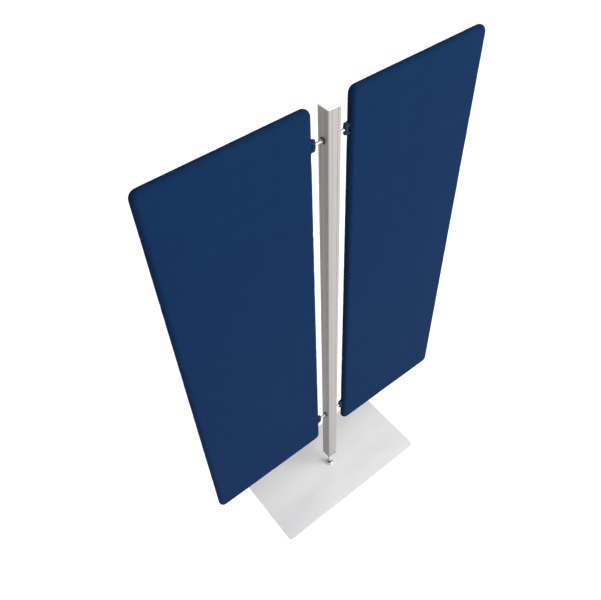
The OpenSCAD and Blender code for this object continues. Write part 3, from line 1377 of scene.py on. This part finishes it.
@dataclass
class Upholstery:
    """The cloth cover of one wing, filled out by its padding."""

    side: Side
    corner_radius: float = 24 * MM
    crown: float = 0.9 * MM
    crown_reach: float = 90 * MM
    mesh_step: float = 12 * MM
    seam_dip: float = 0.9 * MM
    stitch_inset: float = 7.5 * MM
    slot_half_width: float = 7.5 * MM
    slot_half_height: float = 16.5 * MM
    slot_depth: float = 5.8 * MM
    lip: float = 0.6 * MM
    edge_angles: tuple[float, ...] = (0, 3.5, 10, 20, 28, 30, 45, 58, 73, 90)
    most_travel: float = 1.2 * MM
    slack: float = 0.002
    frames: int = 16
    sim_steps: int = 6
    cloth_mass: float = 0.25
    stretch_stiffness: float = 12.0
    shear_stiffness: float = 6.0
    bend_stiffness: float = 0.4
    hold_stiffness: float = 0.6
    fill_pressure: float = 3.0
    hinge_heights: list[float] = field(default_factory=list)

    def build(self) -> None:
        """Makes the cover, its stitching and the bound slots."""
        self.hinge_heights = [
            node_middle(f"{self.side.word}_{level.value}_bracket").z for level in Level
        ]
        word = self.side.word
        low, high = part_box(f"{word}_front_cover")
        self.low, self.high = low.copy(), high.copy()
        self.half = -low.y
        cover = self.cover(f"{word}_cloth_cover")
        self.settle(cover)
        self.smooth(cover)
        nodes = [f"{word}_{face}_{part}" for face in ("front", "rear") for part in ("cover", "pad")]
        dress(cover, CLOTH, self.side.wing, nodes, 180.0)
        self.stitching(cover)
        self.bindings()

    def lines(self, low: float, high: float, stops: Sequence[float]) -> list[float]:
        """Mesh lines across one direction, close together at the rounded edges.

        Args:
            low: the first edge.
            high: the last edge.
            stops: places between that have to be lines.

        Returns:
            The places of the lines.
        """
        rim = [self.half * (1 - math.cos(math.radians(a))) for a in self.edge_angles]
        rim += [(self.half + self.corner_radius) / 2, self.corner_radius]
        fixed = [low + rim[-1], *sorted(stops), high - rim[-1]]
        inner: list[float] = []
        for start, stop in zip(fixed, fixed[1:]):
            count = max(1, math.ceil((stop - start) / self.mesh_step))
            inner += [start + (stop - start) * k / count for k in range(count)]
        inner.append(fixed[-1])
        return [low + r for r in rim[:-1]] + inner + [high - r for r in reversed(rim[:-1])]

    def surface_point(self, x: float, z: float, face: int) -> tuple[Vector, float]:
        """A point of the cover.

        Args:
            x: its place across the panel on the square grid.
            z: its height on the square grid.
            face: -1 on the front, 1 on the rear.

        Returns:
            The point, and how far it lies in from the panel's outline.
        """
        low, high, radius = self.low, self.high, self.corner_radius
        in_x, in_z = min(x - low.x, high.x - x), min(z - low.z, high.z - z)
        inset = min(in_x, in_z)
        if in_x < radius and in_z < radius:
            step = Vector((radius - in_x, radius - in_z))
            reach = max(step.x, step.y)
            step = step.normalized() * reach
            sign_x = -1 if x - low.x < high.x - x else 1
            sign_z = -1 if z - low.z < high.z - z else 1
            x = (low.x + radius if sign_x < 0 else high.x - radius) + sign_x * step.x
            z = (low.z + radius if sign_z < 0 else high.z - radius) + sign_z * step.y
        reach = min(inset, self.half)
        depth = math.sqrt(max(0.0, self.half**2 - (self.half - reach) ** 2))
        swell = min(1.0, max(0.0, inset - self.half) / self.crown_reach)
        depth += self.crown * swell * swell * (3 - 2 * swell)
        return Vector((x, face * depth, z)), inset

    def flat_place(self, place: float, low: float, high: float) -> float:
        """Where a grid line lies on the cloth laid flat.

        Args:
            place: the line's place on the panel.
            low: the panel's first edge.
            high: the panel's last edge.

        Returns:
            Its place on the flat cloth.
        """
        inset = min(place - low, high - place)
        if inset >= self.half:
            return place
        arc = self.half * math.acos(max(-1.0, min(1.0, (self.half - inset) / self.half)))
        extra = (self.half * math.pi / 2 - arc) - (self.half - inset)
        return place - extra if place - low < high - place else place + extra

    def in_slot(self, point: Vector, inset: float) -> bool:
        """Whether a point of the post-side edge lies inside a hinge slot."""
        near = self.low.x if self.side is Side.RIGHT else self.high.x
        if abs(point.x - near) > self.half or inset > self.half / 2:
            return False
        across = abs(point.y) < self.slot_half_width - 0.3 * MM
        return across and any(
            abs(point.z - height) < self.slot_half_height - self.lip / 2 for height in self.hinge_heights
        )

    def cover(self, name: str) -> bpy.types.Object:
        """The cover before its cloth is settled.

        Args:
            name: the object's name.

        Returns:
            The cover, with its weave map and the groups that hold it.
        """
        stops = []
        for height in self.hinge_heights:
            for reach in (self.slot_half_height, self.slot_half_height - self.lip):
                stops += [height - reach, height + reach]
        xs = self.lines(self.low.x, self.high.x, [])
        zs = self.lines(self.low.z, self.high.z, stops)
        bm = bmesh.new()
        weave = bm.loops.layers.uv.new(WEAVE_MAP)
        held = bm.verts.layers.deform.new()
        inward = Vector((self.side.value, 0, 0))
        grid: dict[tuple[int, int, int], bmesh.types.BMVert] = {}
        for face in (-1, 1):
            for i, x in enumerate(xs):
                for j, z in enumerate(zs):
                    on_seam = i in (0, len(xs) - 1) or j in (0, len(zs) - 1)
                    if face > 0 and on_seam:
                        grid[face, i, j] = grid[-1, i, j]
                        continue
                    point, inset = self.surface_point(x, z, face)
                    if self.in_slot(point, inset):
                        near = self.low.x if self.side is Side.RIGHT else self.high.x
                        point.x = near + inward.x * self.slot_depth
                    elif on_seam:
                        point = self.dipped(point)
                    vert = bm.verts.new(point)
                    vert[held][0] = self.hold(point, inset, on_seam)
                    grid[face, i, j] = vert
        flat_x = [self.flat_place(x, self.low.x, self.high.x) for x in xs]
        flat_z = [self.flat_place(z, self.low.z, self.high.z) for z in zs]
        for face in (-1, 1):
            for i in range(len(xs) - 1):
                for j in range(len(zs) - 1):
                    keys = [(i, j), (i + 1, j), (i + 1, j + 1), (i, j + 1)]
                    if face > 0:
                        keys.reverse()
                    corners = [grid[face, a, b] for a, b in keys]
                    if len(set(corners)) < 4:
                        continue
                    made = bm.faces.new(corners)
                    for loop, (a, b) in zip(made.loops, keys):
                        loop[weave].uv = (face * flat_x[a] + 2.0, flat_z[b])
        bmesh.ops.recalc_face_normals(bm, faces=bm.faces)
        mesh = bpy.data.meshes.new(name)
        bm.to_mesh(mesh)
        bm.free()
        made = link_object(name, mesh)
        made.vertex_groups.new(name="held")
        return made

    def dipped(self, point: Vector) -> Vector:
        """A point of the seam, drawn in a little towards the panel's middle."""
        radius = self.corner_radius
        core = Vector(
            (
                min(max(point.x, self.low.x + radius), self.high.x - radius),
                0,
                min(max(point.z, self.low.z + radius), self.high.z - radius),
            )
        )
        return point + (core - point).normalized() * self.seam_dip

    def hold(self, point: Vector, inset: float, on_seam: bool) -> float:
        """How firmly a point of the cloth is held while it settles.

        Args:
            point: the point.
            inset: how far it lies in from the outline.
            on_seam: whether it is on the seam.

        Returns:
            A weight from 0, free, to 1, fixed.
        """
        if on_seam:
            return 1.0
        near = self.low.x if self.side is Side.RIGHT else self.high.x
        at_slot = abs(point.x - near) < self.half and any(
            abs(point.z - height) < self.slot_half_height + 2 * MM for height in self.hinge_heights
        )
        if at_slot and abs(point.y) < self.slot_half_width + MM:
            return 1.0
        return 0.25 + 0.55 * min(1.0, inset / (80 * MM))

    def settle(self, cover: bpy.types.Object) -> None:
        """Lets the cloth find its own shape over the padding.

        Args:
            cover: the cover, whose mesh takes the settled shape.
        """
        twin = link_object("settling", cover.data.copy())
        twin.vertex_groups.new(name="held")
        cloth = twin.modifiers.new("settle", "CLOTH")
        rule = cloth.settings
        rule.quality = self.sim_steps
        rule.mass = self.cloth_mass
        rule.tension_stiffness = rule.compression_stiffness = self.stretch_stiffness
        rule.shear_stiffness = self.shear_stiffness
        rule.bending_stiffness = self.bend_stiffness
        rule.vertex_group_mass = "held"
        rule.pin_stiffness = self.hold_stiffness
        rule.shrink_min = -self.slack
        rule.use_pressure = True
        rule.uniform_pressure_force = self.fill_pressure
        rule.effector_weights.gravity = 0
        cloth.collision_settings.use_collision = False
        cloth.point_cache.frame_start, cloth.point_cache.frame_end = 1, self.frames
        scene = bpy.context.scene
        for step in range(1, self.frames + 1):
            scene.frame_set(step)
        settled = twin.evaluated_get(bpy.context.evaluated_depsgraph_get()).data
        for vert, target in zip(cover.data.vertices, settled.vertices):
            travel = target.co - vert.co
            if travel.length > self.most_travel:
                travel *= self.most_travel / travel.length
            vert.co += travel
        scene.frame_set(1)
        old = twin.data
        bpy.data.objects.remove(twin)
        bpy.data.meshes.remove(old)

    @staticmethod
    def smooth(cover: bpy.types.Object) -> None:
        """Subdivides the cover once and keeps the result."""
        finer = cover.modifiers.new("finer", "SUBSURF")
        finer.levels = finer.render_levels = 1
        flatten(cover)
        cover.vertex_groups.clear()

    def outline(self, inset: float, step: float) -> list[Point2]:
        """The panel's outline, drawn in by an inset, as evenly spaced points.

        Args:
            inset: how far in it runs.
            step: about how far apart its points are.

        Returns:
            The points, as X and Z.
        """
        width, height = self.high.x - self.low.x, self.high.z - self.low.z
        centre = (self.low + self.high) / 2
        corners = rounded_rectangle(
            width - 2 * inset, height - 2 * inset, self.corner_radius - inset, 10
        )
        points: list[Point2] = []
        for start, stop in zip(corners, corners[1:] + corners[:1]):
            run = math.dist(start, stop)
            count = max(1, round(run / step))
            for k in range(count):
                share = k / count
                x = start[0] + (stop[0] - start[0]) * share
                z = start[1] + (stop[1] - start[1]) * share
                points.append((centre.x + x, centre.z + z))
        return points

    def stitching(self, cover: bpy.types.Object) -> bpy.types.Object:
        """Topstitching beside the seam, on the front and on the rear.

        Args:
            cover: the finished cover, which the stitches lie on.

        Returns:
            The stitches, in one object.
        """
        tree = BVHTree.FromObject(cover, bpy.context.evaluated_depsgraph_get())
        verts: list[Vector] = []
        edges: list[tuple[int, int]] = []
        for face in (-1, 1):
            first = len(verts)
            for x, z in self.outline(self.stitch_inset, 8 * MM):
                start = Vector((x, face * 4 * self.half, z))
                hit, _, _, _ = tree.ray_cast(start, Vector((0, -face, 0)))
                if hit is not None:
                    verts.append(hit)
            count = len(verts) - first
            edges += [(first + k, first + (k + 1) % count) for k in range(count)]
        mesh = bpy.data.meshes.new("stitch_path")
        mesh.from_pydata(verts, edges, [])
        made = link_object(f"{self.side.word}_topstitch", mesh)
        sizes = {"Step": 5.5 * MM, "Length": 4.2 * MM, "Radius": 0.42 * MM}
        StitchRow(f"{self.side.word}_stitch_row", THREAD, sizes).grow(made)
        return dress(made, THREAD, self.side.wing, (), 180.0)

    def bindings(self) -> bpy.types.Object:
        """Bound edges round both hinge slots.

        Returns:
            The bindings, in one object.
        """
        near = self.low.x if self.side is Side.RIGHT else self.high.x
        sign = self.side.value
        margin = 0.7 * MM

        def shape(bm: bmesh.types.BMesh) -> None:
            """Sweeps one tape round each slot, laid on the rounded edge."""
            wide = 2 * (self.slot_half_width + margin)
            tall = 2 * (self.slot_half_height + margin)
            for height in self.hinge_heights:
                path = []
                for y, z in self.dense(rounded_rectangle(wide, tall, 3 * MM, 5), 2.5 * MM):
                    drop = self.half - math.sqrt(self.half**2 - y * y)
                    path.append(Vector((near + sign * drop, y, height + z)))
                tube(bm, path, 0.9 * MM)

        made = solid(f"{self.side.word}_slot_binding", shape)
        return dress(made, BINDING, self.side.wing, (), 180.0)

    @staticmethod
    def dense(points: Sequence[Point2], step: float) -> list[Point2]:
        """A closed outline with points added on its long runs."""
        out: list[Point2] = []
        for start, stop in zip(points, [*points[1:], points[0]]):
            count = max(1, math.ceil(math.dist(start, stop) / step))
            for k in range(count):
                share = k / count
                out.append(tuple(a + (b - a) * share for a, b in zip(start, stop)))
        return out


@dataclass
class Hinge:
    """The bracket, pin and washers of one hinge."""

    side: Side
    level: Level
    ear_radius: float = 7 * MM
    soft_edge: float = 1.5 * MM
    leaf_thick: float = 3 * MM
    leaf_corner: float = 5 * MM
    pin_tail: float = 3 * MM
    pin_radius: float = 3 * MM
    head_height: float = 2.4 * MM
    clip_groove_at: float = 2 * MM
    clip_groove_deep: float = 0.5 * MM
    washer_thick: float = 1 * MM
    washer_bore: float = 3.02 * MM

    def build(self) -> None:
        """Makes the hinge's pieces."""
        self.bracket()
        self.pin()
        self.washers()
        repaint(self.name("screws"), BRIGHT_STEEL)

    def name(self, part: str) -> str:
        """The frame's name of this hinge's part."""
        return f"{self.side.word}_{self.level.value}_{part}"

    @property
    def axis(self) -> Vector:
        """A point on the hinge axis, at the knuckle's middle."""
        joint = next(j for j in frame["joints"] if j["child"] == self.side.wing)
        middle = node_middle(self.name("bracket"))
        return Vector((joint["pos_m"][0], joint["pos_m"][1], middle.z))

    def bracket(self) -> bpy.types.Object:
        """Leaf and two ears, with cast edges.

        Returns:
            The bracket.
        """
        node, sign = self.name("bracket"), self.side.value
        low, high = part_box(node)
        axis = self.axis
        outer = high.x if sign > 0 else -low.x
        leaf, reach = self.leaf_thick, outer - abs(axis.x)
        washer_low, washer_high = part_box(self.name("washers"))
        knuckle_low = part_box(self.name("pin"))[0].z + self.pin_tail
        knuckle = axis.z - knuckle_low
        spans = [(axis.z - knuckle, washer_low.z), (washer_high.z, axis.z + knuckle)]
        ear = self.ear_outline(reach - leaf / 2)
        turn = Matrix.Translation((axis.x, 0, 0)) @ Matrix.Diagonal((sign, 1, 1, 1))

        def leaf_shape(bm: bmesh.types.BMesh) -> None:
            """A long plate with round ends, flat on the timber."""
            outline = rounded_rectangle(high.z - low.z, high.y - low.y, self.leaf_corner, 8)
            place = Matrix.Translation((0, 0, axis.z)) @ Matrix.Rotation(-math.pi / 2, 4, "Y")
            ends = sorted((sign * (outer - leaf), sign * outer), key=lambda x: -x)
            prism(bm, outline, -ends[0], -ends[1], place)

        made = solid(f"{node}_casting", leaf_shape)
        for bottom, top in spans:
            part = solid("ear", lambda bm: prism(bm, ear, bottom, top, turn))
            combine(made, part, "UNION")
        soften(made, self.soft_edge, 3, 50.0)
        return dress(made, NAVY_PAINT, self.side.wing, [node], 60.0)

    def ear_outline(self, length: float) -> list[Point2]:
        """Outline of an ear: half round at the axis, square at the leaf."""
        steps = 20
        arc = [math.pi / 2 + math.pi * k / steps for k in range(steps + 1)]
        points = [(self.ear_radius * math.cos(a), self.ear_radius * math.sin(a)) for a in arc]
        return [(length, self.ear_radius), *points, (length, -self.ear_radius)]

    def pin(self) -> bpy.types.Object:
        """The hinge pin: domed head, plain shank, grooved and chamfered tail.

        Returns:
            The pin.
        """
        node = self.name("pin")
        low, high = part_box(node)
        axis = self.axis
        radius, head = self.pin_radius, (high.x - low.x) / 2
        neck = high.z - self.head_height
        groove, deep = low.z + self.clip_groove_at, self.clip_groove_deep
        profile = rounded(
            [
                Corner(0, low.z),
                Corner(radius - 0.6 * MM, low.z),
                Corner(radius, low.z + 0.6 * MM),
                Corner(radius, groove),
                Corner(radius - deep, groove),
                Corner(radius - deep, groove + MM),
                Corner(radius, groove + MM),
                Corner(radius, neck),
                Corner(head, neck, 0.3 * MM),
                Corner(head, neck + 1.0 * MM, 0.5 * MM),
                Corner(0.5 * head, high.z, 3.0 * MM),
                Corner(0, high.z),
            ],
            False,
            5,
        )
        place = Matrix.Translation((axis.x, axis.y, 0))
        made = solid(f"{node}_turned", lambda bm: lathe(bm, profile, place, 40))
        return dress(made, DARK_STEEL, self.side.wing, [node])

    def washers(self) -> bpy.types.Object:
        """The two friction washers, above and below the barrel.

        Returns:
            The washers, in one object.
        """
        node = self.name("washers")
        low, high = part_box(node)
        axis, radius = self.axis, (high.y - low.y) / 2
        inner, thick = self.washer_bore, self.washer_thick
        place = Matrix.Translation((axis.x, axis.y, 0))

        def shape(bm: bmesh.types.BMesh) -> None:
            """Turns one thin ring at each end of the barrel."""
            for bottom in (low.z, high.z - thick):
                ring = [
                    Corner(inner, bottom),
                    Corner(radius, bottom, 0.3 * MM),
                    Corner(radius, bottom + thick, 0.3 * MM),
                    Corner(inner, bottom + thick),
                ]
                lathe(bm, rounded(ring, True), place, 48, True)

        made = solid(f"{node}_rings", shape)
        return dress(made, DARK_PLASTIC, self.side.wing, [node])


@dataclass
class Wing:
    """One wing: its frame, board, cover and hinges."""

    side: Side

    def build(self) -> None:
        """Makes the wing's pieces and finishes its kept nodes."""
        Upholstery(self.side).build()
        for level in Level:
            Hinge(self.side, level).build()
        word = self.side.word
        for node in ("inner_stile", "outer_stile"):
            repaint(f"{word}_{node}", PLANED_UPRIGHT)
        for node in ("top_rail", "bottom_rail"):
            repaint(f"{word}_{node}", PLANED_CROSS)
        repaint(f"{word}_core", CORE_FELT)
        repaint(f"{word}_pin_clips", DARK_STEEL)


# ---------------------------------------------------------------- studio


@dataclass
class Softbox:
    """A large soft lamp."""

    name: str
    place: tuple[float, float, float]
    aim: tuple[float, float, float]
    size: float
    power: float

    def build(self) -> None:
        """Hangs the lamp and points it."""
        lamp = bpy.data.lights.new(self.name, "AREA")
        lamp.shape = "SQUARE"
        lamp.size = self.size
        lamp.energy = self.power
        made = link_object(self.name, lamp)
        made.location = self.place
        away = Vector(self.aim) - Vector(self.place)
        made.rotation_euler = away.to_track_quat("-Z", "Y").to_euler()
        made.visible_camera = False


@dataclass
class Studio:
    """Pale floor, soft lamps and the camera."""

    eye: tuple[float, float, float] = (-0.9272, -1.1130, 2.8617)
    heading: float = 35.96
    dip: float = 49.29
    roll: float = -2.96
    lens: float = 39.78
    floor_size: float = 60.0
    floor_tone: float = 0.5
    sky: float = 0.4

    def build(self) -> None:
        """Sets up everything that isn't the object."""
        scene = bpy.context.scene
        scene.view_settings.view_transform = "Standard"
        self.camera(scene)
        self.floor()
        self.world(scene)
        Softbox("key", (3.1, -5.4, 3.9), (0.0, 0.0, 0.9), 5.5, 700.0).build()
        Softbox("overhead", (0.3, -0.8, 5.0), (0.0, 0.0, 0.0), 3.5, 60.0).build()

    def camera(self, scene: bpy.types.Scene) -> None:
        """Stands the camera above the front left corner.

        Args:
            scene: the scene that looks through it.
        """
        data = bpy.data.cameras.new("camera")
        data.lens = self.lens
        data.sensor_width = 36.0
        made = link_object("camera", data)
        turn = Euler((math.radians(90.0 - self.dip), 0.0, math.radians(-self.heading)))
        roll = Matrix.Rotation(math.radians(self.roll), 4, "Z")
        made.matrix_world = Matrix.Translation(self.eye) @ turn.to_matrix().to_4x4() @ roll
        scene.camera = made

    def floor(self) -> None:
        """Lays the pale floor."""
        half = self.floor_size / 2
        mesh = bpy.data.meshes.new("floor")
        corners = [(-half, -half, 0), (half, -half, 0), (half, half, 0), (-half, half, 0)]
        mesh.from_pydata(corners, [], [(0, 1, 2, 3)])
        made = link_object("floor", mesh)
        mesh.materials.append(FloorPaint("floor_paint", (self.floor_tone,) * 3).material())

    def world(self, scene: bpy.types.Scene) -> None:
        """Surrounds the scene with even white light.

        Args:
            scene: the scene that it lights.
        """
        world = bpy.data.worlds.new("studio")
        world.use_nodes = True
        world.node_tree.nodes.clear()
        graph = Graph(world.node_tree)
        light = graph.node("ShaderNodeBackground", {}, {"Color": (1.0, 1.0, 1.0), "Strength": self.sky})
        graph.node("ShaderNodeOutputWorld", {}, {0: light.outputs[0]})
        scene.world = world


@dataclass(frozen=True)
class FloorPaint(Finish):
    """Matt pale floor, lit softly from below like a light table."""

    glow: float = 0.72

    def draw(self, graph: Graph) -> None:
        """Draws an even tone with the faintest mottle.

        Args:
            graph: the material's graph.
        """
        mottle = graph.noise(graph.place(), 3.0, 3.0)
        graph.surface(
            {
                "Base Color": graph.blend(mottle, shade(self.colour, 0.99), shade(self.colour, 1.01)),
                "Roughness": 0.9,
                "Specular IOR Level": 0.2,
                "Emission Color": (1.0, 1.0, 1.0),
                "Emission Strength": self.glow,
            }
        )


def main() -> None:
    """Builds the studio and then the screen, from the floor up."""
    logging.basicConfig(level=logging.INFO, format="%(message)s")
    Studio().build()
    Base().build()
    Post().build()
    for side in Side:
        for level in Level:
            Arm(side, level).build()
    for side in Side:
        Wing(side).build()


if __name__ == "__main__":
    main()
